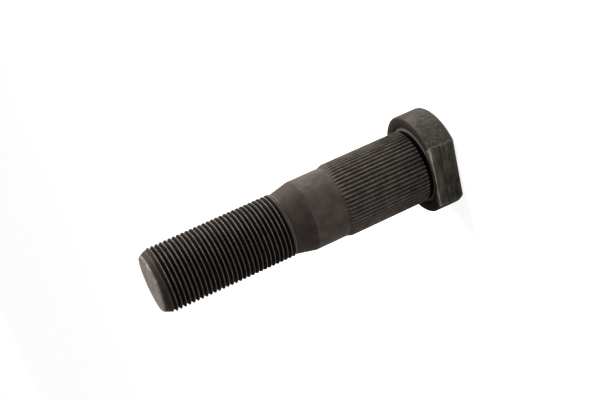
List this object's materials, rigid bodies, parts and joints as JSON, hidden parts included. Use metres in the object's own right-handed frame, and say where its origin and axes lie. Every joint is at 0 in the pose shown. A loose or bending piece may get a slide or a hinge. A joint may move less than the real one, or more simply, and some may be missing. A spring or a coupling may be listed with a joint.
{
  "type": "wheel bolt",
  "caption": "Press-in wheel bolt with a D-shaped head, a serrated shank, a plain guide with a cone, and a long fine thread.",
  "frame": {"origin": "centre of the head's flat outer face, on the bolt's axis", "axes": "+Z along the bolt's axis, from the head to the threaded tip; +X out of the flat on the head"},
  "size_m": [0.031, 0.0346, 0.107],
  "materials": {
    "phosphated_steel": "dark brown-black oiled phosphate, satin, a little lighter where edges and crests are rubbed"
  },
  "bodies": {
    "root": {"wheel_bolt": "phosphated_steel"}
  },
  "joints": []
}
